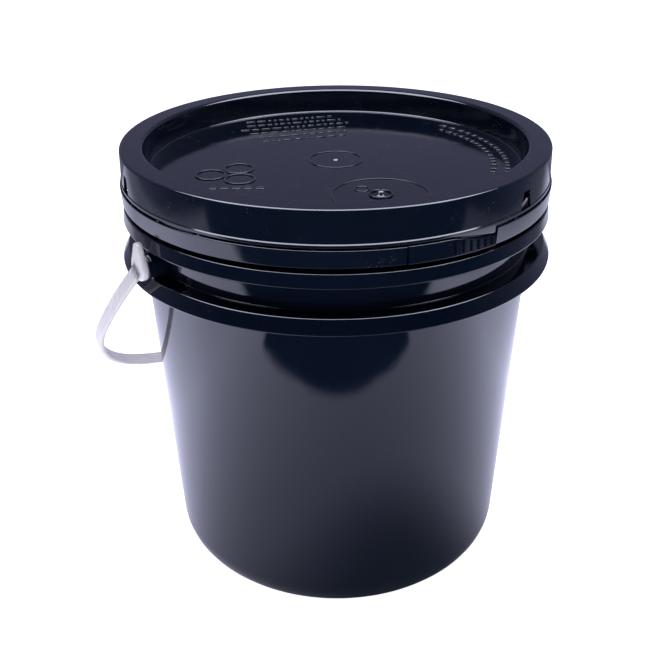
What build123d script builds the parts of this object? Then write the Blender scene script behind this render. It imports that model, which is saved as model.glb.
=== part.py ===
"""Ten-litre plastic bucket with a snap-on lid, tear band and swinging bail handle.

Origin: centre of the base, on the surface it stands on. +Z up. The handle's pivot axis
lies along X, and the handle hangs towards +Y. Units: millimetres, angles in degrees.
"""
import math
import os

from build123d import *

# Bucket wall and base
HEIGHT = 275.0            # base to the top of the lid's rim
WALL = 2.2
BASE_R = 107.9            # where the sloping wall's line meets the base plane
SHOULDER_R = 118.6        # outside, at the top of the tapered wall
NECK_R = 118.2            # outside of the straight wall above it
BASE_FILLET = 21.0
EDGE_FILLET = 1.2         # on the skirt ring's and the rim's outer edges
BASE_THICK = 2.6
FOOT_HEIGHT = 3.4         # the base panel is raised by this inside the foot ring
FOOT_INNER_R = 79.0

# Skirt ring, the large flared ring
SKIRT_TOP_Z = HEIGHT - 58.5
SKIRT_BOTTOM_Z = HEIGHT - 67.1
SKIRT_TOP_R = 127.0
SKIRT_BOTTOM_R = 131.6

# Guard ring, just below the tear band
GUARD_TOP_Z = HEIGHT - 32.6
GUARD_BOTTOM_Z = HEIGHT - 41.9
GUARD_TOP_R = 127.7
GUARD_BOTTOM_R = 128.7
GUARD_DROP = 1.0          # its top face falls by this towards the edge
RING_WALL = 2.0
RING_LIP_FILLET = 0.9
GUARD_EDGE_FILLET = 1.0

# Bucket rim, which the gasket sits over
RIM_TOP_Z = HEIGHT - 3.9
RIM_R = 123.6
RIM_DEPTH = 7.0
RIM_WALL = 1.8
RIM_INNER_FILLET = 0.8

# Gussets inside the two rings
GUSSET_COUNT = 16
GUSSET_THICK = 1.6
GUSSET_SETBACK = 1.5      # above the rings' lower edges

# Ears that carry the handle, at +X and -X
PIVOT_Z = HEIGHT - 50.0
EAR_FACE_X = 131.7
EAR_R = 7.0
EAR_HOLE_R = 3.08
EAR_HOLE_DEPTH = 10.5
EAR_WEB = 2.6
EAR_REACH = 127.2         # outer radius of the web

# Lid
LID_TOP_R = 127.0
LID_SKIRT_R = 127.4
LID_SKIRT_BOTTOM_Z = HEIGHT - 19.8
LID_SKIRT_WALL = 1.6
LID_LIP = 0.5             # the skirt's lower edge stands out by this
LID_LIP_HEIGHT = 1.6
LID_MOUTH_R = 113.5       # inner edge of the rim land
LID_PANEL_R = 111.5
LID_PANEL_Z = HEIGHT - 15.0
LID_WALL = 2.0
LID_EDGE_FILLET = 1.3
LID_LIP_FILLET = 0.4
MOUTH_FILLET = 2.2
PANEL_FILLET = 2.5
UNDER_PANEL_FILLET = 1.0
SNAP_BEAD_R = 124.1
SNAP_BEAD_Z = HEIGHT - 13.2
SNAP_BEAD_RISE = 1.3
WINDOW_ANGLES = (-74.0, 46.0, 166.0)
WINDOW_TOP_Z = HEIGHT - 8.5
WINDOW_BOTTOM_Z = HEIGHT - 18.2
WINDOW_TOP_WIDTH = 6.5
WINDOW_BOTTOM_WIDTH = 11.0

# Moulded marks on the lid's panel
MARK_HEIGHT = 0.5
MARK_WIDTH = 0.9
GATE_RING_R = 16.0
GATE_NUB_R = 2.4
PLUG_FROM_CENTRE = 68.0
PLUG_ANGLE = -105.6
PLUG_CIRCLE_R = 27.0
PLUG_RING_R = 6.3
PLUG_NUB_R = 2.8
PLUG_NUB_HEIGHT = 2.8
DIAL_FROM_CENTRE = 56.0
DIAL_ANGLE = -111.6
DIAL_R = 4.2

# Gasket in the lid's channel
GASKET_INNER_R = 116.6
GASKET_OUTER_R = 123.2
GASKET_THICK = 1.6
GASKET_FILLET = 0.5

# Tear band and its pull tab
BAND_TOP_Z = HEIGHT - 20.8
BAND_BOTTOM_Z = HEIGHT - 30.5
BAND_TOP_R = 128.2
BAND_BOTTOM_R = 128.6
BAND_WALL = 1.9
BAND_FILLET = 0.4
BRIDGE_COUNT = 24
BRIDGE_WIDTH = 1.6
BRIDGE_THICK = 1.0
TAB_ROOT_ANGLE = -110.5
TAB_SLOPE_ANGLE = -99.5   # the tab's upper edge starts to fall here
TAB_FREE_ANGLE = -86.6
TAB_END_GAP = 0.45        # between the tab's ends and the band
TAB_DROP = 4.4            # the upper edge falls this far to the free end
GRIP_RIB_COUNT = 6
GRIP_RIB_WIDTH = 1.0
GRIP_RIB_HEIGHT = 0.7
GRIP_RIB_MARGIN = 1.0     # left clear above and below each rib
FIRST_RIB = 0.4           # first rib's distance down the slope, in rib spacings

# Bail handle
STRAP_WIDTH = 8.0
STRAP_THICK = 3.0
PAD_INNER_X = 132.2
PAD_THICK = 3.6
PAD_R = 7.5
TAIL_LENGTH = 12.0        # pivot to the centre of the tail's rounded end
TAIL_R = 2.8
PIN_R = 3.0
PIN_LENGTH = 9.6
PIN_CHAMFER = 0.8
ARM_END_X = 141.5         # half width where the arms meet the round corners
ARM_LENGTH = 70.0
CORNER_R = 96.0
BAIL_REACH = 179.0        # pivot axis to the middle of the strap at its furthest
HANG_ANGLE = 49.0         # the handle hangs this far below the horizontal

OVERLAP = 0.5             # depth to which added details sink into their parent
CUT_MARGIN = 3.0          # how far cutting solids reach past what they cut
STANDING = (Align.CENTER, Align.CENTER, Align.MIN)


def outline(points):
    """A face in the XZ plane from (radius, height) or (radius, height, fillet) points."""
    face = make_face(Polyline(*[(p[0], 0, p[1]) for p in points], close=True)).face()
    for point in points:
        if len(point) == 3:
            corner = face.vertices().sort_by_distance((point[0], 0, point[1]))[0]
            face = face.fillet_2d(point[2], [corner])
    return face


def turned(points, start=0.0, sweep=360.0):
    """A solid turned about Z from an outline, over all or part of a circle."""
    return Rot(0, 0, start) * revolve(outline(points), Axis.Z, sweep)


def annulus(inner, outer, low, high):
    """A flat ring about Z."""
    return turned([(inner, low), (outer, low), (outer, high), (inner, high)])


def radial_plate(points, thickness, angle):
    """A plate standing on a radius: an outline in the XZ plane, thickened and turned about Z."""
    plate = extrude(outline(points), thickness / 2, dir=(0, 1, 0), both=True)
    return Rot(0, 0, angle) * plate


def radial_prism(points, near, far, angle):
    """A prism that runs outwards: (sideways, height) points, from one radius to another."""
    face = make_face(Polyline(*[(near, y, z) for y, z in points], close=True))
    return Rot(0, 0, angle) * extrude(face, far - near, dir=(1, 0, 0))


def on_panel(distance, angle):
    """A place on the lid's panel, from its polar position."""
    radians = math.radians(angle)
    return Pos(distance * math.cos(radians), distance * math.sin(radians), LID_PANEL_Z)


def raised_circle(radius, height=MARK_HEIGHT, width=MARK_WIDTH):
    """A low raised circle, sunk a little into the face it stands on."""
    return annulus(radius - width / 2, radius + width / 2, -OVERLAP, height)


def bucket_shell():
    """Wall, base, both rings and the rim, turned in one piece."""
    inner_r = NECK_R - WALL
    skirt_inner = SKIRT_BOTTOM_R - RING_WALL
    guard_inner = GUARD_BOTTOM_R - RING_WALL
    floor_z = FOOT_HEIGHT + BASE_THICK
    return turned([
        (0, FOOT_HEIGHT),
        (FOOT_INNER_R - FOOT_HEIGHT, FOOT_HEIGHT),
        (FOOT_INNER_R, 0),
        (BASE_R, 0, BASE_FILLET),
        (SHOULDER_R, SKIRT_TOP_Z - RING_WALL),
        (SKIRT_TOP_R - RING_WALL, SKIRT_TOP_Z - RING_WALL),
        (skirt_inner, SKIRT_BOTTOM_Z, RING_LIP_FILLET),
        (SKIRT_BOTTOM_R, SKIRT_BOTTOM_Z, RING_LIP_FILLET),
        (SKIRT_TOP_R, SKIRT_TOP_Z, EDGE_FILLET),
        (NECK_R, SKIRT_TOP_Z),
        (NECK_R, GUARD_TOP_Z - RING_WALL),
        (GUARD_TOP_R - RING_WALL, GUARD_TOP_Z - RING_WALL - GUARD_DROP),
        (guard_inner, GUARD_BOTTOM_Z, RING_LIP_FILLET),
        (GUARD_BOTTOM_R, GUARD_BOTTOM_Z, RING_LIP_FILLET),
        (GUARD_TOP_R, GUARD_TOP_Z - GUARD_DROP, GUARD_EDGE_FILLET),
        (NECK_R, GUARD_TOP_Z),
        (NECK_R, RIM_TOP_Z - RIM_WALL),
        (RIM_R - RIM_WALL, RIM_TOP_Z - RIM_WALL),
        (RIM_R - RIM_WALL, RIM_TOP_Z - RIM_DEPTH),
        (RIM_R, RIM_TOP_Z - RIM_DEPTH),
        (RIM_R, RIM_TOP_Z, EDGE_FILLET),
        (inner_r, RIM_TOP_Z, RIM_INNER_FILLET),
        (inner_r, SKIRT_TOP_Z),
        (BASE_R - WALL, floor_z, BASE_FILLET - WALL),
        (0, floor_z),
    ])


def gussets():
    """Radial ribs that stiffen the two rings from inside."""
    wall_r = NECK_R - OVERLAP
    in_skirt = [
        (wall_r, SKIRT_BOTTOM_Z + GUSSET_SETBACK),
        (SKIRT_BOTTOM_R - RING_WALL, SKIRT_BOTTOM_Z + GUSSET_SETBACK),
        (SKIRT_TOP_R - RING_WALL, SKIRT_TOP_Z - OVERLAP),
        (wall_r, SKIRT_TOP_Z - OVERLAP),
    ]
    in_guard = [
        (wall_r, GUARD_BOTTOM_Z + GUSSET_SETBACK),
        (GUARD_BOTTOM_R - RING_WALL + OVERLAP, GUARD_BOTTOM_Z + GUSSET_SETBACK),
        (GUARD_TOP_R - RING_WALL + OVERLAP, GUARD_TOP_Z - RING_WALL - OVERLAP),
        (wall_r, GUARD_TOP_Z - RING_WALL + OVERLAP),
    ]
    step = 360 / GUSSET_COUNT
    plates = []
    for index in range(GUSSET_COUNT):
        angle = (index + 0.5) * step
        plates.append(radial_plate(in_skirt, GUSSET_THICK, angle))
        plates.append(radial_plate(in_guard, GUSSET_THICK, angle))
    return plates


def ear(side):
    """One ear: a boss for the handle's pin, on an upright web between the two rings."""
    wall_r = NECK_R - OVERLAP
    low = SKIRT_TOP_Z - OVERLAP
    high = GUARD_TOP_Z - RING_WALL - GUARD_DROP + OVERLAP
    web = radial_plate(
        [(wall_r, low), (EAR_REACH, low), (EAR_REACH, high), (wall_r, high)], EAR_WEB, 0
    )
    boss_length = EAR_FACE_X - wall_r
    boss = Pos(wall_r + boss_length / 2, 0, PIVOT_Z) * Rot(0, 90, 0) * Cylinder(EAR_R, boss_length)
    return Rot(0, 0, 0 if side > 0 else 180) * (web + boss)


def ear_hole(side):
    """The blind hole in an ear's boss."""
    centre_x = side * (EAR_FACE_X - EAR_HOLE_DEPTH / 2)
    return Pos(centre_x, 0, PIVOT_Z) * Rot(0, 90, 0) * Cylinder(EAR_HOLE_R, EAR_HOLE_DEPTH)


def make_bucket():
    """The whole bucket: shell, gussets and ears."""
    bucket = bucket_shell()
    for plate in gussets():
        bucket += plate
    for side in (-1, 1):
        bucket += ear(side)
        bucket -= ear_hole(side)
    return bucket


def bucket_nodes():
    """The bucket, which is one moulding, divided at the upper and lower edges of its rings."""
    bucket = make_bucket()
    levels = {
        "bucket_body": (0, SKIRT_BOTTOM_Z),
        "skirt_ring": (SKIRT_BOTTOM_Z, SKIRT_TOP_Z),
        "bucket_neck": (SKIRT_TOP_Z, GUARD_BOTTOM_Z),
        "guard_ring": (GUARD_BOTTOM_Z, GUARD_TOP_Z),
        "bucket_rim": (GUARD_TOP_Z, HEIGHT),
    }
    nodes = {}
    for name, (low, high) in levels.items():
        level = Cylinder(SKIRT_BOTTOM_R + CUT_MARGIN, high - low, align=STANDING)
        nodes[name] = bucket & (Pos(0, 0, low) * level)
    return nodes


def lid_shell():
    """Rim land, plug wall, panel and skirt, turned in one piece."""
    skirt_inner = LID_SKIRT_R - LID_SKIRT_WALL
    under_rim = HEIGHT - LID_WALL
    lip_r = LID_SKIRT_R + LID_LIP
    return turned([
        (0, LID_PANEL_Z),
        (LID_PANEL_R, LID_PANEL_Z, PANEL_FILLET),
        (LID_MOUTH_R, HEIGHT, MOUTH_FILLET),
        (LID_TOP_R, HEIGHT, LID_EDGE_FILLET),
        (LID_SKIRT_R, LID_SKIRT_BOTTOM_Z + LID_LIP_HEIGHT + LID_LIP),
        (lip_r, LID_SKIRT_BOTTOM_Z + LID_LIP_HEIGHT),
        (lip_r, LID_SKIRT_BOTTOM_Z, LID_LIP_FILLET),
        (skirt_inner, LID_SKIRT_BOTTOM_Z),
        (skirt_inner, SNAP_BEAD_Z - SNAP_BEAD_RISE),
        (SNAP_BEAD_R, SNAP_BEAD_Z),
        (skirt_inner, SNAP_BEAD_Z + SNAP_BEAD_RISE),
        (LID_TOP_R - LID_SKIRT_WALL, under_rim),
        (LID_MOUTH_R + LID_WALL, under_rim),
        (LID_PANEL_R + LID_WALL, LID_PANEL_Z - LID_WALL, UNDER_PANEL_FILLET),
        (0, LID_PANEL_Z - LID_WALL),
    ])


def tab_line():
    """The sloping part of the tab's upper edge: its middle angle and half its width."""
    middle = (TAB_SLOPE_ANGLE + TAB_FREE_ANGLE) / 2
    half = LID_SKIRT_R * math.radians((TAB_FREE_ANGLE - TAB_SLOPE_ANGLE) / 2)
    return middle, half


def skirt_wedge():
    """The wedge of skirt that reaches down above the tab's grip."""
    middle, half = tab_line()
    wedge = radial_prism(
        [
            (-half, LID_SKIRT_BOTTOM_Z),
            (half, LID_SKIRT_BOTTOM_Z - TAB_DROP),
            (half, LID_SKIRT_BOTTOM_Z + OVERLAP),
            (-half, LID_SKIRT_BOTTOM_Z + OVERLAP),
        ],
        LID_SKIRT_R - LID_SKIRT_WALL - CUT_MARGIN,
        LID_SKIRT_R + CUT_MARGIN,
        middle,
    )
    low = LID_SKIRT_BOTTOM_Z - TAB_DROP
    return wedge & annulus(
        LID_SKIRT_R - LID_SKIRT_WALL, LID_SKIRT_R + LID_LIP, low, LID_SKIRT_BOTTOM_Z + OVERLAP
    )


def make_lid():
    lid = lid_shell() + skirt_wedge()
    for angle in WINDOW_ANGLES:
        lid -= radial_prism(
            [
                (-WINDOW_BOTTOM_WIDTH / 2, WINDOW_BOTTOM_Z),
                (WINDOW_BOTTOM_WIDTH / 2, WINDOW_BOTTOM_Z),
                (WINDOW_TOP_WIDTH / 2, WINDOW_TOP_Z),
                (-WINDOW_TOP_WIDTH / 2, WINDOW_TOP_Z),
            ],
            (GASKET_OUTER_R + SNAP_BEAD_R) / 2,
            LID_SKIRT_R + CUT_MARGIN,
            angle,
        )
    centre = on_panel(0, 0)
    plug = on_panel(PLUG_FROM_CENTRE, PLUG_ANGLE)
    dial = on_panel(DIAL_FROM_CENTRE, DIAL_ANGLE)
    lid += centre * raised_circle(GATE_RING_R)
    lid += centre * Cone(GATE_NUB_R, GATE_NUB_R / 2, 2 * MARK_HEIGHT, align=STANDING)
    lid += plug * raised_circle(PLUG_CIRCLE_R)
    lid += plug * raised_circle(PLUG_RING_R, 2 * MARK_HEIGHT)
    lid += plug * Cone(PLUG_NUB_R, PLUG_NUB_R / 2, PLUG_NUB_HEIGHT, align=STANDING)
    lid += dial * raised_circle(DIAL_R)
    return lid


def make_lid_gasket():
    top = HEIGHT - LID_WALL
    low = top - GASKET_THICK
    return turned([
        (GASKET_INNER_R, low, GASKET_FILLET),
        (GASKET_OUTER_R, low, GASKET_FILLET),
        (GASKET_OUTER_R, top),
        (GASKET_INNER_R, top),
    ])


def band_outline():
    """The section shared by the tear band and its tab."""
    return [
        (BAND_BOTTOM_R - BAND_WALL, BAND_BOTTOM_Z, BAND_FILLET),
        (BAND_BOTTOM_R, BAND_BOTTOM_Z, BAND_FILLET),
        (BAND_TOP_R, BAND_TOP_Z, BAND_FILLET),
        (BAND_TOP_R - BAND_WALL, BAND_TOP_Z, BAND_FILLET),
    ]


def make_tear_band():
    start = TAB_FREE_ANGLE + TAB_END_GAP
    sweep = 360 - (TAB_FREE_ANGLE - TAB_ROOT_ANGLE) - 2 * TAB_END_GAP
    band = turned(band_outline(), start, sweep)
    bridge_r = BAND_TOP_R - BAND_WALL / 2
    bridge = [
        (bridge_r - BRIDGE_THICK / 2, BAND_TOP_Z - OVERLAP),
        (bridge_r + BRIDGE_THICK / 2, BAND_TOP_Z - OVERLAP),
        (bridge_r + BRIDGE_THICK / 2, LID_SKIRT_BOTTOM_Z),
        (bridge_r - BRIDGE_THICK / 2, LID_SKIRT_BOTTOM_Z),
    ]
    for index in range(BRIDGE_COUNT):
        angle = start + sweep * (index + 0.5) / BRIDGE_COUNT
        band += radial_plate(bridge, BRIDGE_WIDTH, angle)
    return band


def make_pull_tab():
    """A length of the band with a falling upper edge and upright grip ribs."""
    middle, half = tab_line()
    tab = turned(band_outline(), TAB_ROOT_ANGLE, TAB_FREE_ANGLE - TAB_ROOT_ANGLE)
    past_end = half + CUT_MARGIN
    drop_past_end = TAB_DROP * (half + past_end) / (2 * half)
    tab -= radial_prism(
        [
            (-half, BAND_TOP_Z),
            (past_end, BAND_TOP_Z - drop_past_end),
            (past_end, BAND_TOP_Z + CUT_MARGIN),
            (-half, BAND_TOP_Z + CUT_MARGIN),
        ],
        BAND_TOP_R - BAND_WALL - CUT_MARGIN,
        BAND_BOTTOM_R + CUT_MARGIN,
        middle,
    )
    spacing = (TAB_FREE_ANGLE - TAB_SLOPE_ANGLE) / GRIP_RIB_COUNT
    for index in range(GRIP_RIB_COUNT):
        along = index + FIRST_RIB
        angle = TAB_SLOPE_ANGLE + spacing * along
        top = BAND_TOP_Z - TAB_DROP * along / GRIP_RIB_COUNT - GRIP_RIB_MARGIN
        rib = [
            (BAND_TOP_R - OVERLAP, BAND_BOTTOM_Z + GRIP_RIB_MARGIN),
            (BAND_BOTTOM_R + GRIP_RIB_HEIGHT, BAND_BOTTOM_Z + GRIP_RIB_MARGIN),
            (BAND_TOP_R + GRIP_RIB_HEIGHT, top),
            (BAND_TOP_R - OVERLAP, top),
        ]
        tab += radial_plate(rib, GRIP_RIB_WIDTH, angle)
    return tab


def strap_edge(offset):
    """One long edge of the strap, in its own plane: five arcs from the -X end to the +X end."""
    arm_spread = ARM_END_X - arm_start_x()
    arm_r = (ARM_LENGTH**2 + arm_spread**2) / (2 * arm_spread)
    arm_turn = math.degrees(math.asin(ARM_LENGTH / arm_r))
    corner_x = ARM_END_X - CORNER_R
    top_half = 2 * math.degrees(math.atan((BAIL_REACH - ARM_LENGTH - CORNER_R) / corner_x))
    corner_turn = 90 - top_half
    top_r = CORNER_R + corner_x / math.cos(math.radians(corner_turn))
    return [
        CenterArc((arm_r - ARM_END_X, ARM_LENGTH), arm_r + offset, 180 + arm_turn, -arm_turn),
        CenterArc((-corner_x, ARM_LENGTH), CORNER_R + offset, 180, -corner_turn),
        CenterArc((0, BAIL_REACH - top_r), top_r + offset, 90 + top_half, -2 * top_half),
        CenterArc((corner_x, ARM_LENGTH), CORNER_R + offset, corner_turn, -corner_turn),
        CenterArc((ARM_END_X - arm_r, ARM_LENGTH), arm_r + offset, 0, -arm_turn),
    ]


def arm_start_x():
    """Half the distance between the middles of the two pads."""
    return PAD_INNER_X + PAD_THICK / 2


def make_bail_handle():
    """A flat strap bent into a bail, with a pad, a tail and a pin at each end."""
    outer = strap_edge(STRAP_THICK / 2)
    inner = strap_edge(-STRAP_THICK / 2)
    ends = [Line(outer[0] @ 0, inner[0] @ 0), Line(outer[-1] @ 1, inner[-1] @ 1)]
    face = make_face(outer + inner + ends)
    strap = extrude(face, STRAP_WIDTH / 2, both=True)
    handle = Pos(0, 0, PIVOT_Z) * Rot(-HANG_ANGLE, 0, 0) * strap
    for side in (-1, 1):
        pad_plane = Plane(
            origin=(side * PAD_INNER_X, 0, PIVOT_Z), x_dir=(0, side, 0), z_dir=(side, 0, 0)
        )
        pad_edges = Circle(PAD_R).edges() + (Pos(0, TAIL_LENGTH) * Circle(TAIL_R)).edges()
        pad = pad_plane * extrude(make_hull(pad_edges), PAD_THICK)
        pin = Cylinder(PIN_R, PIN_LENGTH, align=(Align.CENTER, Align.CENTER, Align.MAX))
        pin = chamfer(pin.edges().sort_by(Axis.Z)[0], PIN_CHAMFER)
        handle += pad + pad_plane * pin
    return handle


def main():
    os.makedirs("parts", exist_ok=True)
    nodes = bucket_nodes() | {
        "lid": make_lid(),
        "lid_gasket": make_lid_gasket(),
        "tear_band": make_tear_band(),
        "pull_tab": make_pull_tab(),
        "bail_handle": make_bail_handle(),
    }
    for name, shape in nodes.items():
        export_step(shape, f"parts/{name}.step")


main()
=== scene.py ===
"""Looks of the plastic bucket: detailed meshes, materials, light and camera around the CAD frame."""
import math
import random

import bmesh
import bpy
from mathutils import Matrix, Vector


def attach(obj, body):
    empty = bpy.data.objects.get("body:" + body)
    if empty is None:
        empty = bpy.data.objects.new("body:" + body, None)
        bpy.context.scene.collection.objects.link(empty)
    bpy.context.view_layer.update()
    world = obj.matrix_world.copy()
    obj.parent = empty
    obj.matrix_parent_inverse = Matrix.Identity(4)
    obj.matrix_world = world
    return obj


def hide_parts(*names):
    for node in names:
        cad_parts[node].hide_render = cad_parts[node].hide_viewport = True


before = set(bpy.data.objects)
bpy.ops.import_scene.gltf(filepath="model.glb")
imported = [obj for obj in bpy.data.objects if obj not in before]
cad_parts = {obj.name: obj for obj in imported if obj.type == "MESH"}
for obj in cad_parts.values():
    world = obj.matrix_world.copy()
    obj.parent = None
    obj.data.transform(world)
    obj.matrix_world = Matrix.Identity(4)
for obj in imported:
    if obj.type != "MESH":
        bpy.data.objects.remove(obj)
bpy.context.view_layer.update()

MM = 0.001
FULL_TURN = 288           # columns in a whole turn
ROUND_STEPS = 48          # points round a boss
ARC_STEP = math.radians(11)
HOLD = 0.25               # support loops stand this far from each corner, mm
SHARP_ANGLE = 38.0        # edges sharper than this stay sharp, degrees
ROOT = 0.5                # ribs, webs and bosses start this far inside the wall, mm
SINK = 0.3                # raised marks and upright webs start this far below the surface, mm

# Sizes in millimetres, as in the CAD model but for the band and the panel's corner
HEIGHT = 275.0
WALL = 2.2
NECK_R = 118.2
SHOULDER_R = 118.6
BASE_R = 107.9
SKIRT_TOP_Z = 216.5
SKIRT_BOTTOM_Z = 207.9
SKIRT_TOP_R = 127.0
SKIRT_BOTTOM_R = 131.6
GUARD_TOP_Z = 242.4
GUARD_BOTTOM_Z = 233.1
GUARD_TOP_R = 127.7
GUARD_BOTTOM_R = 128.7
RING_WALL = 2.0
GUSSET_COUNT = 16
GUSSET_THICK = 1.6
PIVOT_Z = 225.0
EAR_FACE_X = 131.7
EAR_R = 7.0
EAR_FILLET = 0.6
EAR_HOLE_R = 3.08
EAR_HOLE_DEPTH = 10.5
EAR_WEB = 2.6
EAR_REACH = 127.2
PARTING_ANGLE = -139.4    # mould parting line on the neck
PARTING_RISE = 0.5
PARTING_WIDTH = 0.7
LID_SKIRT_R = 127.4
LID_SKIRT_WALL = 1.6
LID_SKIRT_BOTTOM_Z = 255.2
PANEL_Z = 260.0
WINDOW_ANGLES = (-74.0, 46.0, 166.0)
BLOCK_ANGLE = 68.0        # where the rows of bars stand on the panel
BLOCK_ROWS = 6
ROW_ANGLE = -36.8         # the way the row of bars beside the three rings runs
BAND_TOP_Z = 254.2
BAND_BOTTOM_Z = 244.5
BAND_TOP_R = 128.6
BAND_BOTTOM_R = 128.0
TAB_TOP_R = 128.2
TAB_BOTTOM_R = 128.6
BAND_WALL = 1.9
BRIDGE_COUNT = 24
NUB_PROFILE = (           # (share of the height, share of the radius), from the panel up
    (-SINK, 1.15), (0, 1.15), (0.12, 1.02), (0.55, 0.8), (0.85, 0.6), (0.97, 0.42), (1, 0.2)
)
TAB_ROOT_ANGLE = -110.5
TAB_SLOPE_ANGLE = -99.5
TAB_FREE_ANGLE = -86.6
TAB_END_GAP = 0.45
TAB_DROP = 4.4
WEDGE_TAPER = 0.07
GRIP_RIB_COUNT = 6
STRAP_WIDTH = 8.0
STRAP_THICK = 3.0
STRAP_RIBS = 5
STRAP_RIB_RISE = 0.4
STRAP_MARGIN = 0.7
PAD_INNER_X = 132.2
PAD_THICK = 3.6
PAD_R = 7.5
TAIL_LENGTH = 12.0
TAIL_R = 2.8
PIN_R = 3.0
PIN_LENGTH = 9.6
PIN_CHAMFER = 0.8
PIN_STEPS = 40
ARM_END_X = 141.5
ARM_LENGTH = 70.0
CORNER_R = 96.0
BAIL_REACH = 179.0
HANG_ANGLE = 49.0


# ---------------------------------------------------------------- mesh helpers

def rounded(points, closed=True):
    """A profile of (radius, height) from points that may carry a fillet as a third number."""
    count = len(points)
    corners = []
    for i, point in enumerate(points):
        here = Vector(point[:2])
        is_end = not closed and i in (0, count - 1)
        if len(point) < 3 or is_end:
            corners.append([here])
            continue
        back = (Vector(points[i - 1][:2]) - here).normalized()
        ahead = (Vector(points[(i + 1) % count][:2]) - here).normalized()
        half = back.angle(ahead) / 2
        reach = point[2] / math.tan(half)
        centre = here + (back + ahead).normalized() * (point[2] / math.sin(half))
        first = here + back * reach - centre
        turn = (here + ahead * reach - centre).angle(first)
        side = 1 if first.cross(here + ahead * reach - centre) > 0 else -1
        steps = max(3, math.ceil(turn / ARC_STEP))
        corners.append([
            centre + Matrix.Rotation(side * turn * k / steps, 2) @ first for k in range(steps + 1)
        ])
    profile = []
    for i in range(count):
        profile += corners[i]
        if not closed and i == count - 1:
            break
        start = corners[i][-1]
        end = corners[(i + 1) % count][0]
        run = end - start
        if run.length > 6 * HOLD:
            profile.append(start + run.normalized() * HOLD)
            profile.append(end - run.normalized() * HOLD)
    return profile


def add_turned(bm, profile, closed=True, start=0.0, sweep=360.0, shape=None):
    """Adds a profile turned about Z. shape(angle, point) may move each point, in mm."""
    whole = sweep >= 360.0
    columns = max(2, round(FULL_TURN * sweep / 360.0)) + (0 if whole else 1)
    step = math.radians(sweep) / (columns if whole else columns - 1)
    grid = []
    for c in range(columns):
        angle = math.radians(start) + c * step
        column = []
        for point in profile:
            radius, height = shape(math.degrees(angle), point) if shape else point
            if radius < 1e-6 and c > 0:
                column.append(grid[0][len(column)])
                continue
            place = (radius * math.cos(angle), radius * math.sin(angle), height)
            column.append(bm.verts.new(Vector(place) * MM))
        grid.append(column)
    rows = len(profile)
    for c in range(columns if whole else columns - 1):
        here, after = grid[c], grid[(c + 1) % columns]
        for r in range(rows if closed else rows - 1):
            n = (r + 1) % rows
            corners = [here[r], here[n], after[n], after[r]]
            distinct = [v for k, v in enumerate(corners) if v not in corners[:k]]
            if len(distinct) > 2:
                bm.faces.new(distinct)
    if not whole:
        bm.faces.new(grid[0])
        bm.faces.new(grid[-1][::-1])


def add_loft(bm, sections, closed=False):
    """Adds a skin through rings of points in mm, with its ends capped unless it closes."""
    rings = [[bm.verts.new(Vector(p) * MM) for p in ring] for ring in sections]
    size = len(rings[0])
    for i in range(len(rings) if closed else len(rings) - 1):
        a, b = rings[i], rings[(i + 1) % len(rings)]
        for k in range(size):
            n = (k + 1) % size
            bm.faces.new([a[k], a[n], b[n], b[k]])
    if not closed:
        bm.faces.new(rings[0][::-1])
        bm.faces.new(rings[-1])


def add_plate(bm, points, thickness, angle, chamfer=0.2):
    """Adds a plate standing on a radius: a (radius, height) outline, thickened and turned."""
    middle = sum((Vector(p) for p in points), Vector((0, 0))) / len(points)
    turn = Matrix.Rotation(math.radians(angle), 3, "Z")
    sections = []
    for offset, inset in ((-0.5, chamfer), (-0.5, 0), (0.5, 0), (0.5, chamfer)):
        side = offset * thickness
        if inset == 0:
            side -= math.copysign(chamfer, offset)
        ring = []
        for p in points:
            spot = Vector(p) + (middle - Vector(p)).normalized() * inset
            ring.append(turn @ Vector((spot.x, side, spot.y)))
        sections.append(ring)
    add_loft(bm, sections)


def add_prism(bm, points, near, far, angle):
    """Adds a prism that runs outwards: (sideways, height) points from one radius to another."""
    turn = Matrix.Rotation(math.radians(angle), 3, "Z")
    add_loft(bm, [[turn @ Vector((x, y, z)) for y, z in points] for x in (near, far)])


def shade_smooth(mesh, angle):
    """Shades the mesh smooth, except at edges sharper than the angle."""
    mesh.polygons.foreach_set("use_smooth", [True] * len(mesh.polygons))
    mesh.set_sharp_from_angle(angle=math.radians(angle))


def finish_mesh(bm, name, material, body, *nodes, angle=SHARP_ANGLE):
    """Makes the piece, shades it smooth up to the angle, ties it to its body and hides the CAD parts
    it stands for.
    """
    bmesh.ops.recalc_face_normals(bm, faces=bm.faces)
    mesh = bpy.data.meshes.new(name)
    bm.to_mesh(mesh)
    bm.free()
    mesh.materials.append(material)
    shade_smooth(mesh, angle)
    piece = bpy.data.objects.new(name, mesh)
    bpy.context.scene.collection.objects.link(piece)
    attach(piece, body)
    if nodes:
        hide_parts(*nodes)
    return piece


# ---------------------------------------------------------------- materials

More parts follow.
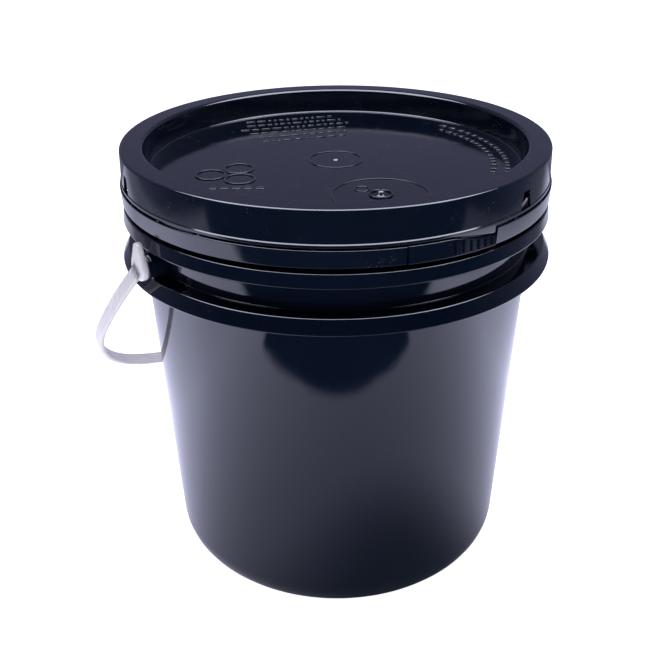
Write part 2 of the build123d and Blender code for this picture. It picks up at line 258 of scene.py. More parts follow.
class Painter:
    """Builds one procedural material, node by node, in object coordinates."""

    def __init__(self, name):
        self.material = bpy.data.materials.new(name)
        self.material.use_nodes = True
        self.tree = self.material.node_tree
        self.shader = self.tree.nodes["Principled BSDF"]
        self.place = self.tree.nodes.new("ShaderNodeTexCoord").outputs["Object"]

    def node(self, kind, **values):
        made = self.tree.nodes.new(kind)
        for key, value in values.items():
            if key in ("operation", "data_type"):
                setattr(made, key, value)
            else:
                made.inputs[key.replace("_", " ")].default_value = value
        return made

    def link(self, a, b):
        self.tree.links.new(a, b)

    def noise(self, scale, detail=2.0, roughness=0.5, stretch=None):
        made = self.node("ShaderNodeTexNoise", Scale=scale, Detail=detail, Roughness=roughness)
        place = self.place
        if stretch:
            squeezed = self.node("ShaderNodeMapping")
            squeezed.inputs["Scale"].default_value = stretch
            self.link(place, squeezed.inputs["Vector"])
            place = squeezed.outputs["Vector"]
        self.link(place, made.inputs["Vector"])
        return made.outputs["Fac"]

    def specks(self, scale, size):
        """White in small round dots that are scattered unevenly."""
        cells = self.node("ShaderNodeTexVoronoi", Scale=scale, Randomness=1.0)
        self.link(self.place, cells.inputs["Vector"])
        patches = self.noise(scale * 0.12, 1.0)
        reach = self.remap(patches, 0.50, 0.72, 0.0, size)
        nearer = self.node("ShaderNodeMath", operation="LESS_THAN")
        self.link(cells.outputs["Distance"], nearer.inputs[0])
        self.link(reach, nearer.inputs[1])
        return nearer.outputs["Value"]

    def remap(self, value, low, high, to_low, to_high):
        made = self.node("ShaderNodeMapRange")
        for key, number in zip(
            ("From Min", "From Max", "To Min", "To Max"), (low, high, to_low, to_high)
        ):
            made.inputs[key].default_value = number
        self.link(value, made.inputs["Value"])
        return made.outputs["Result"]

    def combine(self, operation, a, b):
        made = self.node("ShaderNodeMath", operation=operation)
        for index, value in enumerate((a, b)):
            if isinstance(value, (int, float)):
                made.inputs[index].default_value = value
            else:
                self.link(value, made.inputs[index])
        return made.outputs["Value"]

    def mix(self, amount, a, b):
        made = self.node("ShaderNodeMix", data_type="RGBA")
        self.link(amount, made.inputs[0])
        for index, value in ((6, a), (7, b)):
            if isinstance(value, tuple):
                made.inputs[index].default_value = value
            else:
                self.link(value, made.inputs[index])
        return made.outputs[2]

    def bump(self, height, strength, distance, under=None):
        made = self.node("ShaderNodeBump", Strength=strength, Distance=distance)
        self.link(height, made.inputs["Height"])
        if under:
            self.link(under, made.inputs["Normal"])
        return made.outputs["Normal"]


def black_plastic(name, dark, light, rough_low, rough_high, dust):
    """Moulded polyethylene: faint flow streaks, fine grain, scuffs and a little dust."""
    p = Painter(name)
    streaks = p.noise(14.0, 3.0, 0.55, (1.0, 1.0, 0.35))
    flecks = p.specks(800.0, dust)
    colour = p.mix(p.remap(streaks, 0.35, 0.7, 0.0, 1.0), dark, light)
    colour = p.mix(flecks, colour, (0.10, 0.10, 0.13, 1.0))
    p.link(colour, p.shader.inputs["Base Color"])
    cloud = p.noise(38.0, 4.0, 0.6)
    grain = p.noise(2600.0, 2.0, 0.6)
    scuffs = p.noise(220.0, 6.0, 0.75, (1.0, 1.0, 3.0))
    wear = p.remap(scuffs, 0.58, 0.72, 0.0, 0.16)
    rough = p.combine("ADD", p.remap(cloud, 0.3, 0.7, rough_low, rough_high), wear)
    rough = p.combine("ADD", rough, p.combine("MULTIPLY", flecks, 0.3))
    p.link(rough, p.shader.inputs["Roughness"])
    ripple = p.bump(p.noise(46.0, 2.0, 0.4), 0.05, 0.0012)
    fine = p.bump(grain, 0.06, 0.00012, ripple)
    p.link(p.bump(flecks, 0.15, 0.00015, fine), p.shader.inputs["Normal"])
    p.shader.inputs["IOR"].default_value = 1.52
    return p.material


def strap_plastic():
    """Natural polypropylene: milky, slightly cloudy, with a fine grain in its surface."""
    p = Painter("natural_polypropylene")
    cloud = p.noise(60.0, 3.0, 0.55)
    colour = p.mix(
        p.remap(cloud, 0.35, 0.68, 0.0, 1.0), (0.76, 0.71, 0.79, 1.0), (0.84, 0.79, 0.86, 1.0)
    )
    p.link(colour, p.shader.inputs["Base Color"])
    p.link(p.remap(p.noise(300.0, 4.0, 0.6), 0.3, 0.7, 0.3, 0.46), p.shader.inputs["Roughness"])
    p.link(p.bump(p.noise(1500.0, 2.0, 0.6), 0.1, 0.00015), p.shader.inputs["Normal"])
    p.shader.inputs["Subsurface Weight"].default_value = 1.0
    p.shader.inputs["Subsurface Radius"].default_value = (1.0, 0.95, 1.0)
    p.shader.inputs["Subsurface Scale"].default_value = 0.010
    return p.material


def seal_rubber():
    p = Painter("seal_foam")
    pores = p.noise(1800.0, 3.0, 0.7)
    p.link(
        p.mix(p.remap(pores, 0.35, 0.65, 0.0, 1.0), (0.42, 0.42, 0.40, 1.0), (0.58, 0.58, 0.56, 1.0)),
        p.shader.inputs["Base Color"],
    )
    p.link(p.remap(pores, 0.3, 0.7, 0.75, 0.9), p.shader.inputs["Roughness"])
    p.link(p.bump(pores, 0.3, 0.0002), p.shader.inputs["Normal"])
    return p.material


body_black = black_plastic(
    "gloss_black_body", (0.0022, 0.0048, 0.0120, 1), (0.0034, 0.0064, 0.0150, 1), 0.03, 0.065, 0.10
)
lid_black = black_plastic(
    "gloss_black_lid", (0.0024, 0.0050, 0.0125, 1), (0.0040, 0.0070, 0.0155, 1), 0.05, 0.10, 0.17
)
# The raised marks are a paler, rougher black than the lid.
mark_black = black_plastic(
    "pale_rough_black_marks", (0.020, 0.022, 0.030, 1), (0.040, 0.042, 0.054, 1), 0.12, 0.20, 0.20
)
strap_white = strap_plastic()
seal_grey = seal_rubber()


# ---------------------------------------------------------------- bucket

def pivot_ring(x, radius, steps=ROUND_STEPS):
    """Points of an upright circle about the pivot line."""
    turns = [k * math.tau / steps for k in range(steps)]
    return [(x, radius * math.cos(t), PIVOT_Z + radius * math.sin(t)) for t in turns]


def add_ear(bm, side):
    """A boss with a blind pin hole, on an upright web between the two rings."""
    wall_r = NECK_R - ROOT
    low, high = SKIRT_TOP_Z - SINK, GUARD_TOP_Z - RING_WALL
    add_plate(bm, [
        (wall_r, low), (EAR_REACH, low), (EAR_REACH, high), (wall_r, high)
    ], EAR_WEB, 0 if side > 0 else 180, 0.3)
    path = [(wall_r, EAR_R), (EAR_FACE_X - EAR_FILLET, EAR_R)]
    path += [
        (EAR_FACE_X - EAR_FILLET * (1 - math.sin(t)), EAR_R - EAR_FILLET * (1 - math.cos(t)))
        for t in (math.pi / 8, math.pi / 4, 3 * math.pi / 8, math.pi / 2)
    ]
    path += [
        (EAR_FACE_X, EAR_HOLE_R + 0.3),
        (EAR_FACE_X - 0.3, EAR_HOLE_R),
        (EAR_FACE_X - EAR_HOLE_DEPTH, EAR_HOLE_R),
        (EAR_FACE_X - EAR_HOLE_DEPTH, 0.4),
    ]
    add_loft(bm, [pivot_ring(side * x, r) for x, r in path])


def make_bucket():
    bm = bmesh.new()
    inner_r = NECK_R - WALL
    skirt_inner = SKIRT_BOTTOM_R - RING_WALL
    guard_inner = GUARD_BOTTOM_R - RING_WALL
    shell = rounded([
        (0, 3.4), (75.6, 3.4, 0.8), (79, 0, 0.8), (BASE_R, 0, 21),
        (SHOULDER_R, SKIRT_TOP_Z - RING_WALL, 0.6), (125, SKIRT_TOP_Z - RING_WALL),
        (skirt_inner, SKIRT_BOTTOM_Z, 0.9), (SKIRT_BOTTOM_R, SKIRT_BOTTOM_Z, 0.9),
        (SKIRT_TOP_R, SKIRT_TOP_Z, 1.2), (NECK_R, SKIRT_TOP_Z, 0.8),
        (NECK_R, GUARD_TOP_Z - RING_WALL, 0.6), (125.7, GUARD_TOP_Z - RING_WALL - 1),
        (guard_inner, GUARD_BOTTOM_Z, 0.9), (GUARD_BOTTOM_R, GUARD_BOTTOM_Z, 0.9),
        (GUARD_TOP_R, GUARD_TOP_Z - 1, 1.0), (NECK_R, GUARD_TOP_Z, 0.8),
        (NECK_R, 269.3), (121.8, 269.3), (121.8, 264.1), (123.6, 264.1),
        (123.6, 271.1, 1.2), (inner_r, 271.1, 0.8), (inner_r, SKIRT_TOP_Z),
        (BASE_R - WALL, 6, 18.8), (0, 6),
    ], closed=False)
    add_turned(bm, shell, closed=False)
    wall_r = NECK_R - ROOT
    for index in range(GUSSET_COUNT):
        angle = (index + 0.5) * 360 / GUSSET_COUNT
        low = SKIRT_BOTTOM_Z + 1.5
        add_plate(bm, [
            (wall_r, low), (skirt_inner, low), (125, SKIRT_TOP_Z - 0.5), (wall_r, SKIRT_TOP_Z - 0.5)
        ], GUSSET_THICK, angle)
        low = GUARD_BOTTOM_Z + 1.5
        add_plate(bm, [
            (wall_r, low), (guard_inner + 0.5, low),
            (126.2, GUARD_TOP_Z - 2.5), (wall_r, GUARD_TOP_Z - 1.5),
        ], GUSSET_THICK, angle)
    low, high = SKIRT_TOP_Z - SINK, GUARD_BOTTOM_Z + 4
    for side in (-1, 1):
        add_ear(bm, side)
        crest = NECK_R + PARTING_RISE
        add_plate(bm, [
            (wall_r, low), (crest, low), (crest, high), (wall_r, high)
        ], PARTING_WIDTH, PARTING_ANGLE if side > 0 else PARTING_ANGLE + 180, 0.2)
    return finish_mesh(
        bm, "bucket_moulding", body_black, "bucket",
        "bucket_body", "skirt_ring", "bucket_neck", "guard_ring", "bucket_rim",
    )


# ---------------------------------------------------------------- lid

def polar(distance, angle):
    """A flat vector from a length and an angle in degrees."""
    return Matrix.Rotation(math.radians(angle), 2) @ Vector((distance, 0))


def add_circle_mark(bm, centre, radius, height=0.5, width=0.9):
    """A low raised circle on the panel."""
    profile = rounded([
        (radius - width / 2, -SINK), (radius - width / 2, height, 0.25),
        (radius + width / 2, height, 0.25), (radius + width / 2, -SINK),
    ])
    steps = 64
    sections = []
    for k in range(steps):
        t = k * math.tau / steps
        way = Vector((math.cos(t), math.sin(t), 0))
        sections.append([centre.to_3d() + way * p.x + Vector((0, 0, PANEL_Z + p.y)) for p in profile])
    add_loft(bm, sections, closed=True)


def add_nub(bm, centre, radius, height):
    """A small round-topped gate nub on the panel."""
    steps = 32
    turns = [k * math.tau / steps for k in range(steps)]
    sections = []
    for rise, share in NUB_PROFILE:
        z = PANEL_Z + (rise * height if rise > 0 else rise)
        r = radius * share
        sections.append([(centre.x + r * math.cos(t), centre.y + r * math.sin(t), z) for t in turns])
    add_loft(bm, sections)


def add_bar_mark(bm, centre, length, width, direction, height=0.6):
    """A short plain raised bar on the panel, with its length along the direction in degrees."""
    place = Matrix.Translation((centre.x, centre.y, PANEL_Z))
    place = place @ Matrix.Rotation(math.radians(direction), 4, "Z")
    sections = []
    for z, inset in ((-SINK, 0), (height - 0.3, 0), (height - 0.1, 0.1), (height, 0.3)):
        x, y = length / 2 - inset, width / 2 - inset
        sections.append([place @ Vector(p) for p in ((-x, -y, z), (x, -y, z), (x, y, z), (-x, y, z))])
    add_loft(bm, sections)


def cut_windows(lid):
    """Cuts the three skirt windows with a boolean and keeps the result."""
    bm = bmesh.new()
    for angle in WINDOW_ANGLES:
        add_prism(
            bm, [(-5.5, 256.8), (5.5, 256.8), (3.25, 266.5), (-3.25, 266.5)], 123.65, 131.0, angle
        )
    bmesh.ops.recalc_face_normals(bm, faces=bm.faces)
    mesh = bpy.data.meshes.new("window_cutter")
    bm.to_mesh(mesh)
    bm.free()
    cutter = bpy.data.objects.new("window_cutter", mesh)
    bpy.context.scene.collection.objects.link(cutter)
    cut = lid.modifiers.new("windows", "BOOLEAN")
    cut.object = cutter
    cut.solver = "EXACT"
    result = bpy.data.meshes.new_from_object(lid.evaluated_get(bpy.context.evaluated_depsgraph_get()))
    lid.modifiers.clear()
    lid.data = result
    bpy.data.objects.remove(cutter)
    shade_smooth(result, SHARP_ANGLE)


def make_lid():
    bm = bmesh.new()
    skirt_inner = LID_SKIRT_R - LID_SKIRT_WALL
    shell = rounded([
        (0, PANEL_Z), (111.5, PANEL_Z, 1.1), (113.5, HEIGHT, 2.2), (127.0, HEIGHT, 1.3),
        (LID_SKIRT_R, 257.3), (127.9, 256.8), (127.9, LID_SKIRT_BOTTOM_Z, 0.4),
        (skirt_inner, LID_SKIRT_BOTTOM_Z), (skirt_inner, 260.5), (124.1, 261.8),
        (skirt_inner, 263.1), (125.4, 273), (115.5, 273), (113.5, 258, 1.0), (0, 258),
    ], closed=False)
    add_turned(bm, shell, closed=False)
    lid = finish_mesh(bm, "lid_shell", lid_black, "lid_set", "lid")
    cut_windows(lid)
    return lid


def tab_fall(angle):
    """How far the tab's upper edge has fallen at an angle in degrees."""
    middle = (TAB_SLOPE_ANGLE + TAB_FREE_ANGLE) / 2
    half = LID_SKIRT_R * math.radians((TAB_FREE_ANGLE - TAB_SLOPE_ANGLE) / 2)
    across = LID_SKIRT_R * math.sin(math.radians(angle - middle))
    return TAB_DROP * (across + half) / (2 * half)


def make_skirt_wedge():
    """The length of skirt that reaches down above the tab's grip."""
    bm = bmesh.new()
    profile = rounded([
        (LID_SKIRT_R - LID_SKIRT_WALL, 0.0), (LID_SKIRT_R + 0.5, 0.0, 0.3),
        (LID_SKIRT_R + 0.5, 1.0), (LID_SKIRT_R - LID_SKIRT_WALL, 1.0),
    ])

    def fall(angle, point):
        depth = (tab_fall(angle) + 0.4) * (1 - point[1])
        return point[0] - WEDGE_TAPER * depth, LID_SKIRT_BOTTOM_Z + 0.4 - depth

    add_turned(bm, profile, start=TAB_SLOPE_ANGLE, sweep=TAB_FREE_ANGLE - TAB_SLOPE_ANGLE, shape=fall)
    return finish_mesh(bm, "lid_skirt_wedge", lid_black, "lid_set")


def make_panel_marks():
    """Plain moulded marks: gate, plug circle, dial, and rows of bars where lettering would be."""
    bm = bmesh.new()
    middle, dial = Vector((0, 0)), polar(68.0, -105.6)
    add_circle_mark(bm, middle, 16)
    add_nub(bm, middle, 2.4, 1.0)
    add_circle_mark(bm, dial, 27)
    add_circle_mark(bm, dial, 6.3, 1.0)
    add_nub(bm, dial, 2.8, 2.8)
    add_circle_mark(bm, polar(56.0, -111.6), 4.2)
    draw = random.Random(7)
    for row in range(BLOCK_ROWS):
        indent = 3 * abs(row - 2)
        shift = -28.0 + draw.uniform(-2, 2) + indent
        while shift < 40.0 - indent:
            length = draw.choice((2.2, 3.4, 4.6, 6.0))
            spot = polar(96.0 - 9.5 * row, BLOCK_ANGLE) + polar(shift + length / 2, BLOCK_ANGLE + 90)
            add_bar_mark(bm, spot, length, 1.3, BLOCK_ANGLE + 90)
            shift += length + 1.6
    for radius, first, last in ((102.5, 10.0, -58.0), (94.5, 6.0, -52.0)):
        angle = first
        while angle > last:
            length = draw.choice((3.0, 4.4, 5.8))
            along = angle - math.degrees(length / 2 / radius)
            add_bar_mark(bm, polar(radius, along), length, 3.4, along + 90)
            angle -= math.degrees((length + 2.0) / radius)
    rings = polar(67.0, 167.0)
    for k in range(3):
        add_circle_mark(bm, rings + polar(11.0, 120 * k + 30), 8.6, 0.7, 1.2)
    for k in range(5):
        spot = rings + polar(24.0, ROW_ANGLE - 90) + polar(6.0 + (k - 2) * 6.6, ROW_ANGLE)
        add_bar_mark(bm, spot, 4.6, 5.0, ROW_ANGLE)
    return finish_mesh(bm, "lid_panel_marks", mark_black, "lid_set")


def make_gasket():
    bm = bmesh.new()
    add_turned(bm, rounded([
        (116.6, 271.4, 0.5), (123.2, 271.4, 0.5), (123.2, 273.0, 0.2), (116.6, 273.0, 0.2)
    ]))
    return finish_mesh(bm, "lid_seal", seal_grey, "lid_set", "lid_gasket")


def band_profile(bottom_r, top_r):
    return rounded([
        (bottom_r - BAND_WALL, BAND_BOTTOM_Z, 0.4), (bottom_r, BAND_BOTTOM_Z, 0.4),
        (top_r, BAND_TOP_Z, 0.4), (top_r - BAND_WALL, BAND_TOP_Z, 0.4),
    ])


def make_band():
    bm = bmesh.new()
    start = TAB_FREE_ANGLE + TAB_END_GAP
    sweep = 360 - (TAB_FREE_ANGLE - TAB_ROOT_ANGLE) - 2 * TAB_END_GAP
    add_turned(bm, band_profile(BAND_BOTTOM_R, BAND_TOP_R), start=start, sweep=sweep)
    middle_r = BAND_TOP_R - BAND_WALL / 2
    for index in range(BRIDGE_COUNT):
        angle = start + sweep * (index + 0.5) / BRIDGE_COUNT
        add_plate(bm, [
            (middle_r - 0.5, BAND_TOP_Z - 0.5), (middle_r + 0.5, BAND_TOP_Z - 0.5),
            (middle_r + 0.5, LID_SKIRT_BOTTOM_Z + 0.1), (middle_r - 0.5, LID_SKIRT_BOTTOM_Z + 0.1),
        ], 1.6, angle, 0.1)
    return finish_mesh(bm, "tear_band_ring", lid_black, "lid_set", "tear_band")


def make_tab():
    """A length of the band with a falling upper edge and upright grip ribs."""
    bm = bmesh.new()

    def fall(angle, point):
        drop = max(0.0, tab_fall(angle))
        share = (point[1] - BAND_BOTTOM_Z) / (BAND_TOP_Z - BAND_BOTTOM_Z)
        return point[0], point[1] - drop * max(0.0, min(1.0, (share - 0.1) / 0.8))

    add_turned(
        bm, band_profile(TAB_BOTTOM_R, TAB_TOP_R),
        start=TAB_ROOT_ANGLE, sweep=TAB_FREE_ANGLE - TAB_ROOT_ANGLE, shape=fall,
    )
    spacing = (TAB_FREE_ANGLE - TAB_SLOPE_ANGLE) / GRIP_RIB_COUNT
    for index in range(GRIP_RIB_COUNT):
        along = index + 0.4
        top = BAND_TOP_Z - TAB_DROP * along / GRIP_RIB_COUNT - 1.0
        add_plate(bm, [
            (TAB_TOP_R - 0.5, BAND_BOTTOM_Z + 1.0), (TAB_BOTTOM_R + 0.7, BAND_BOTTOM_Z + 1.0),
            (TAB_TOP_R + 0.7, top), (TAB_TOP_R - 0.5, top),
        ], 1.0, TAB_SLOPE_ANGLE + spacing * along, 0.25)
    return finish_mesh(bm, "ribbed_pull_tab", lid_black, "tab", "pull_tab")


# ---------------------------------------------------------------- handle

def strap_path():
    """Points and outward directions along the middle of the strap, in its own plane, in mm."""
    spread = ARM_END_X - PAD_INNER_X - PAD_THICK / 2
    arm_r = (ARM_LENGTH**2 + spread**2) / (2 * spread)
    arm_turn = math.asin(ARM_LENGTH / arm_r)
    corner_x = ARM_END_X - CORNER_R
    top_half = 2 * math.atan((BAIL_REACH - ARM_LENGTH - CORNER_R) / corner_x)
    corner_turn = math.pi / 2 - top_half
    top_r = CORNER_R + corner_x / math.cos(corner_turn)
    arcs = [
        ((ARM_END_X - arm_r, ARM_LENGTH), arm_r, -arm_turn, 0.0, 16),
        ((corner_x, ARM_LENGTH), CORNER_R, 0.0, corner_turn, 36),
        ((0.0, BAIL_REACH - top_r), top_r, corner_turn, math.pi / 2, 30),
    ]
    half = []
    for centre, radius, first, last, steps in arcs:
        for k in range(steps):
            t = first + (last - first) * k / steps
            way = Vector((math.cos(t), math.sin(t)))
            half.append((Vector(centre) + way * radius, way))
    top = (Vector((0.0, BAIL_REACH)), Vector((0.0, 1.0)))
    mirrored = [(Vector((-p.x, p.y)), Vector((-w.x, w.y))) for p, w in reversed(half)]
    return half + [top] + mirrored


def strap_section():
    """(outward, across) points round the strap: rounded edges, with fine ribs on both faces."""
    half_t, half_w = STRAP_THICK / 2, STRAP_WIDTH / 2
    steps = STRAP_RIBS * 4
    face = []
    for k in range(steps + 1):
        across = (half_w - STRAP_MARGIN) * (2 * k / steps - 1)
        ridge = STRAP_RIB_RISE * (0.5 + 0.5 * math.cos(k * math.pi / 2))
        face.append((half_t - STRAP_RIB_RISE + ridge, across))
    edge = [(half_t - 0.45, half_w - 0.2), (half_t - 0.9, half_w)]
    edge += [(-n, w) for n, w in reversed(edge)]
    back = [(-n, w) for n, w in reversed(face)]
    other = [(-n, -w) for n, w in edge]
    return face + edge + back + other


def make_handle():
    bm = bmesh.new()
    section = strap_section()
    tilt = Matrix.Rotation(math.radians(-HANG_ANGLE), 3, "X")
    lift = Vector((0, 0, PIVOT_Z))
    sections = []
    for point, way in strap_path():
        sections.append([
            lift + tilt @ Vector((point.x + way.x * n, point.y + way.y * n, w)) for n, w in section
        ])
    add_loft(bm, sections)
    for side in (-1, 1):
        slant = math.asin((PAD_R - TAIL_R) / TAIL_LENGTH)
        outline = []
        for k in range(33):
            t = math.pi - slant + (math.pi + 2 * slant) * k / 32
            outline.append((math.cos(t), math.sin(t), PAD_R, 0.0))
        for k in range(17):
            t = slant + (math.pi - 2 * slant) * k / 16
            outline.append((math.cos(t), math.sin(t), TAIL_R, TAIL_LENGTH))
        sections = []
        depths = (
            (0, 0.5), (0.15, 0.15), (0.5, 0), (PAD_THICK - 0.9, 0), (PAD_THICK - 0.4, 0.15),
            (PAD_THICK - 0.1, 0.5), (PAD_THICK, 1.0),
        )
        for depth, inset in depths:
            sections.append([
                (side * (PAD_INNER_X + depth), (r - inset) * c, PIVOT_Z + base + (r - inset) * s)
                for c, s, r, base in outline
            ])
        add_loft(bm, sections)
        pin = ((0.2, PIN_R), (PIN_CHAMFER - PIN_LENGTH, PIN_R), (-PIN_LENGTH, PIN_R - PIN_CHAMFER))
        add_loft(bm, [pivot_ring(side * (PAD_INNER_X + x), r, PIN_STEPS) for x, r in pin])
    return finish_mesh(bm, "strap_handle", strap_white, "handle", "bail_handle", angle=50)


make_bucket()
for lid_piece in (make_lid(), make_skirt_wedge(), make_panel_marks(), make_band(), make_tab()):
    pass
make_gasket()
make_handle()


# ---------------------------------------------------------------- studio

VIEW_TURN = math.radians(-36.8)   # the camera's side of the object, from -Y
CAMERA_BACK = 0.56131
CAMERA_HEIGHT = 0.43665
CAMERA_PITCH = 0.4858
CAMERA_YAW = -0.002
CAMERA_ROLL = -0.007
LENS = 51.54


def turned_place(right, away, up):
    """A place given by its distances right of, beyond and above the base, seen from the camera."""
    return Matrix.Rotation(VIEW_TURN, 3, "Z") @ Vector((right, away, up))


def make_camera():
    """The camera stands at the photograph's viewing angle."""
    forward = Vector((
        math.sin(CAMERA_YAW) * math.cos(CAMERA_PITCH),
        math.cos(CAMERA_YAW) * math.cos(CAMERA_PITCH),
        -math.sin(CAMERA_PITCH),
    ))
    level = Vector((math.cos(CAMERA_YAW), -math.sin(CAMERA_YAW), 0))
    over = level.cross(forward)
    right = level * math.cos(CAMERA_ROLL) + over * math.sin(CAMERA_ROLL)
    up = over * math.cos(CAMERA_ROLL) - level * math.sin(CAMERA_ROLL)
    axes = Matrix((right, up, -forward)).transposed()
    data = bpy.data.cameras.new("camera")
    data.sensor_width = 36
    data.lens = LENS
    data.clip_start = 0.01
    data.clip_end = 50
    camera = bpy.data.objects.new("camera", data)
    camera.matrix_world = Matrix.Translation(turned_place(0, -CAMERA_BACK, CAMERA_HEIGHT)) @ (
        Matrix.Rotation(VIEW_TURN, 3, "Z") @ axes
    ).to_4x4()
    bpy.context.scene.collection.objects.link(camera)
    bpy.context.scene.camera = camera


def stage_piece(name, mesh, base, colour, strength):
    """Puts a glowing mesh on the stage."""
    material = bpy.data.materials.new(name)
    material.use_nodes = True
    shader = material.node_tree.nodes["Principled BSDF"]
    shader.inputs["Base Color"].default_value = base
    shader.inputs["Roughness"].default_value = 0.8
    shader.inputs["Emission Color"].default_value = colour
    shader.inputs["Emission Strength"].default_value = strength
    mesh.materials.append(material)
    piece = bpy.data.objects.new(name, mesh)
    bpy.context.scene.collection.objects.link(piece)
    return piece


def make_sheet(name, corners, z, base, colour, strength):
    """A flat stage sheet that glows, from its (right, away) corners in metres."""
    mesh = bpy.data.meshes.new(name)
    mesh.from_pydata([turned_place(x, y, z) for x, y in corners], [], [range(len(corners))])
    return stage_piece(name, mesh, base, colour, strength)


def make_backdrop(radius):
    """A plain white dome round the stage. It lights nothing and shows in no reflection."""
    bm = bmesh.new()
    bmesh.ops.create_uvsphere(bm, u_segments=48, v_segments=24, radius=radius)
    mesh = bpy.data.meshes.new("backdrop")
    bm.to_mesh(mesh)
    bm.free()
    dome = stage_piece("backdrop", mesh, (0, 0, 0, 1), (1, 1, 1, 1), 1.0)
    dome.visible_diffuse = False
    dome.visible_glossy = False
    dome.visible_transmission = False
    dome.visible_shadow = False


def paint_sheet_light_and_shade(sheet):
    """Painted light and shade in the sheet's glow: it falls off towards the near right and at both
    sides, with a painted shadow before the base.
    """
    tree = sheet.data.materials[0].node_tree

    def add(kind, mode, settings, *feeds):
        made = tree.nodes.new(kind)
        for key, value in mode.items():
            setattr(made, key, value)
        for key, value in settings.items():
            made.inputs[key].default_value = value
        for key, source in feeds:
            tree.links.new(source, made.inputs[key])
        return made.outputs

    def fade(source, full_at, faded_at, rest, kind):
        """1 up to one value of the source, falling to the rest at another."""
        limits = {"From Min": full_at, "From Max": faded_at, "To Min": 1.0, "To Max": rest}
        return add(
            "ShaderNodeMapRange", {"interpolation_type": kind}, limits, ("Value", source)
        )["Result"]

    def multiply(a, b):
        return add("ShaderNodeMath", {"operation": "MULTIPLY"}, {}, (0, a), (1, b))["Value"]

    place = add("ShaderNodeTexCoord", {}, {})["Object"]
    turned = add(
        "ShaderNodeVectorRotate", {"rotation_type": "Z_AXIS"}, {"Angle": -VIEW_TURN}, ("Vector", place)
    )["Vector"]
    reach = add("ShaderNodeVectorMath", {"operation": "LENGTH"}, {}, (0, place))["Value"]
    slope = add(
        "ShaderNodeVectorMath", {"operation": "DOT_PRODUCT"}, {1: (-1.15, 4.75, 0.0)}, (0, turned)
    )["Value"]
    spread = add(
        "ShaderNodeMath", {"operation": "MULTIPLY_ADD"}, {1: 7.8}, (0, reach), (2, slope)
    )["Value"]
    limited = add("ShaderNodeClamp", {}, {"Max": 2.5}, ("Value", spread))["Result"]
    apart = add("ShaderNodeSeparateXYZ", {}, {}, ("Vector", turned))
    # Distance from the centre of the painted shadow before the base.
    shade = add(
        "ShaderNodeVectorMath", {"operation": "DISTANCE"}, {1: (0.05, -0.11, -0.001)}, (0, turned)
    )["Value"]
    strength = multiply(limited, fade(apart["Y"], -0.03, 0.35, 0.35, "LINEAR"))
    strength = multiply(strength, fade(apart["X"], -0.62, -0.74, 0.32, "SMOOTHSTEP"))
    strength = multiply(strength, fade(apart["X"], 0.52, 0.72, 0.15, "SMOOTHSTEP"))
    # Painted shadow: the glow fades to nothing just before the base.
    strength = multiply(strength, fade(shade, 0.14, 0.025, 0.0, "SMOOTHSTEP"))
    tree.links.new(strength, tree.nodes["Principled BSDF"].inputs["Emission Strength"])


def make_world():
    """A dim room: dark on the camera's side, paler beyond the object."""
    world = bpy.data.worlds.new("studio")
    world.use_nodes = True
    tree = world.node_tree
    place = tree.nodes.new("ShaderNodeTexCoord").outputs["Generated"]
    away = tree.nodes.new("ShaderNodeVectorMath")
    away.operation = "DOT_PRODUCT"
    away.inputs[1].default_value = turned_place(0, 1, 0.35)
    tree.links.new(place, away.inputs[0])
    amount = tree.nodes.new("ShaderNodeMapRange")
    amount.inputs["From Min"].default_value = -0.35
    amount.inputs["From Max"].default_value = 0.55
    tree.links.new(away.outputs["Value"], amount.inputs["Value"])
    blend = tree.nodes.new("ShaderNodeMix")
    blend.data_type = "RGBA"
    blend.inputs[6].default_value = (0.008, 0.018, 0.042, 1)
    blend.inputs[7].default_value = (0.18, 0.185, 0.29, 1)
    tree.links.new(amount.outputs["Result"], blend.inputs[0])
    tree.links.new(blend.outputs[2], tree.nodes["Background"].inputs["Color"])
    bpy.context.scene.world = world


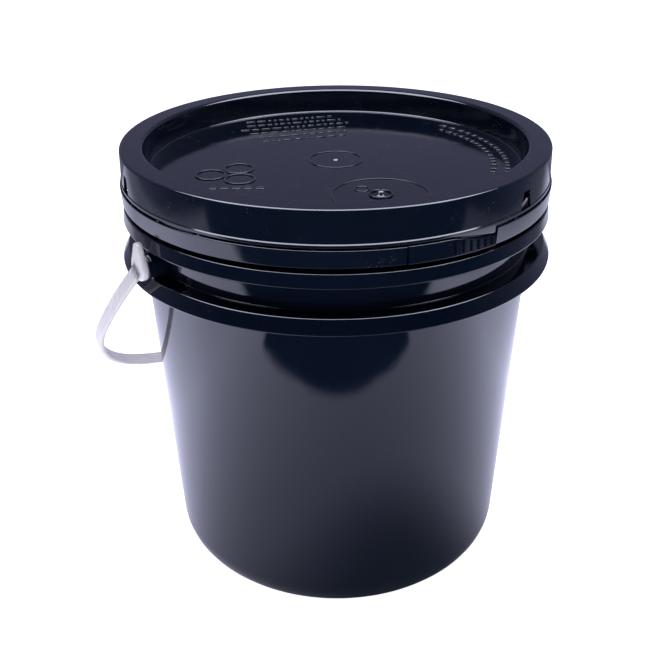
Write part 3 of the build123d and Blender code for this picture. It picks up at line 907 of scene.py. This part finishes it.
def add_softbox(name, place, target, width, height, radiance, colour):
    """A rectangular lamp at one place, facing another, of a given brightness."""
    data = bpy.data.lights.new(name, "AREA")
    data.shape = "RECTANGLE"
    data.size = width
    data.size_y = height
    data.energy = radiance * math.pi * width * height
    data.color = colour
    lamp = bpy.data.objects.new(name, data)
    lamp.location = turned_place(*place)
    aim = turned_place(*target) - lamp.location
    lamp.rotation_euler = aim.to_track_quat("-Z", "Y").to_euler()
    bpy.context.scene.collection.objects.link(lamp)
    return lamp


WHITE = (1, 1, 1, 1)
COOL = (0.95, 0.95, 1.0)
BLUISH = (0.80, 0.83, 1.0)
AIM = (0, 0, 0.15)

make_camera()
floor = make_sheet(
    "floor", [(-8, -3), (8, -3), (8, 12), (-8, 12)], -0.0005, (0.9, 0.9, 0.92, 1), WHITE, 1.0
)
floor.visible_glossy = False
floor.visible_shadow = False
make_backdrop(14.0)
# Outline of the glowing sheet seen only in reflections: the notch in its near edge paints a dark shape
# into the bucket's reflections.
painted_reflection_edge = [
    (-0.84, -0.39), (-0.26, -0.39), (-0.25, -0.312), (-0.2, -0.318), (-0.12, -0.334),
    (0.12, -0.334), (0.2, -0.322), (0.25, -0.318), (0.26, -0.39), (0.84, -0.39),
    (0.84, 0.7), (-0.84, 0.7),
]
# Painted reflection: a glowing sheet, not a lamp, that the camera never sees. Its glow paints
# reflected light and a painted shadow on the bucket.
painted_reflection_sheet = make_sheet("painted_reflection_sheet", painted_reflection_edge, -0.0010, (0.02, 0.02, 0.02, 1), (0.73, 0.745, 1.0, 1), 1.0)
painted_reflection_sheet.visible_camera = False
painted_reflection_sheet.visible_shadow = False
paint_sheet_light_and_shade(painted_reflection_sheet)
diffuse_boxes = (
    add_softbox("left_softbox", (-1.0, 0.35, 0.45), AIM, 0.9, 0.9, 0.5, COOL),
    add_softbox("right_softbox", (1.0, 0.45, 0.45), AIM, 0.8, 0.8, 0.9, COOL),
    add_softbox("front_fill", (-0.35, -1.1, 0.55), AIM, 0.8, 0.8, 1.0, COOL),
    add_softbox("overhead_fill", (0.2, 0.2, 1.3), AIM, 1.0, 1.0, 3.2, COOL),
)
for box in diffuse_boxes:
    box.visible_glossy = False
edge_light = add_softbox("top_softbox", (0, -0.1, 1.3), (0, 0, 0.25), 2.4, 1.1, 12.0, BLUISH)
edge_light.visible_diffuse = False
make_world()
bpy.context.scene.view_settings.view_transform = "Standard"
